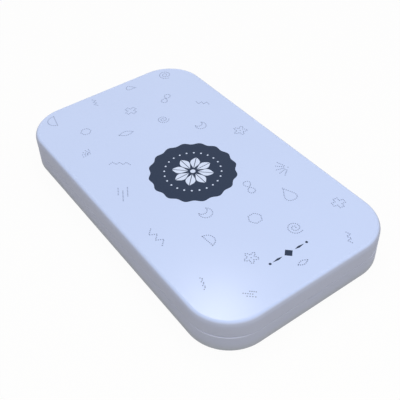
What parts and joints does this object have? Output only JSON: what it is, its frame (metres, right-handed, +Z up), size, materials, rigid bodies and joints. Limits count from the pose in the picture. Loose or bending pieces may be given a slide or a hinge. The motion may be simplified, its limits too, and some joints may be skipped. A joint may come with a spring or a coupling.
{
  "type": "rectangular tin",
  "caption": "Flat rectangular keepsake tin with round corners, a rolled edge and a flush lid hinged along a short side; opens flat.",
  "frame": {"origin": "middle of the flat underside of the base", "axes": "+Z up through the lid, +Y along the tin's length towards its hinges, +X along its width"},
  "size_m": [0.11, 0.1919, 0.02],
  "materials": {
    "painted_tinplate": "satin pearl white with a blue cast, printed on the lid",
    "steel_wire": "drawn wire"
  },
  "bodies": {
    "base": {"base": "painted_tinplate", "hinge_pin_left": "steel_wire", "hinge_pin_right": "steel_wire"},
    "lid": {"lid": "painted_tinplate"}
  },
  "joints": [
    {"name": "lid_hinge", "type": "hinge", "parent": "base", "child": "lid", "pos_m": [0, 0.09585, 0.01005], "axis": [-1, 0, 0], "range_deg": [0, 180]}
  ]
}
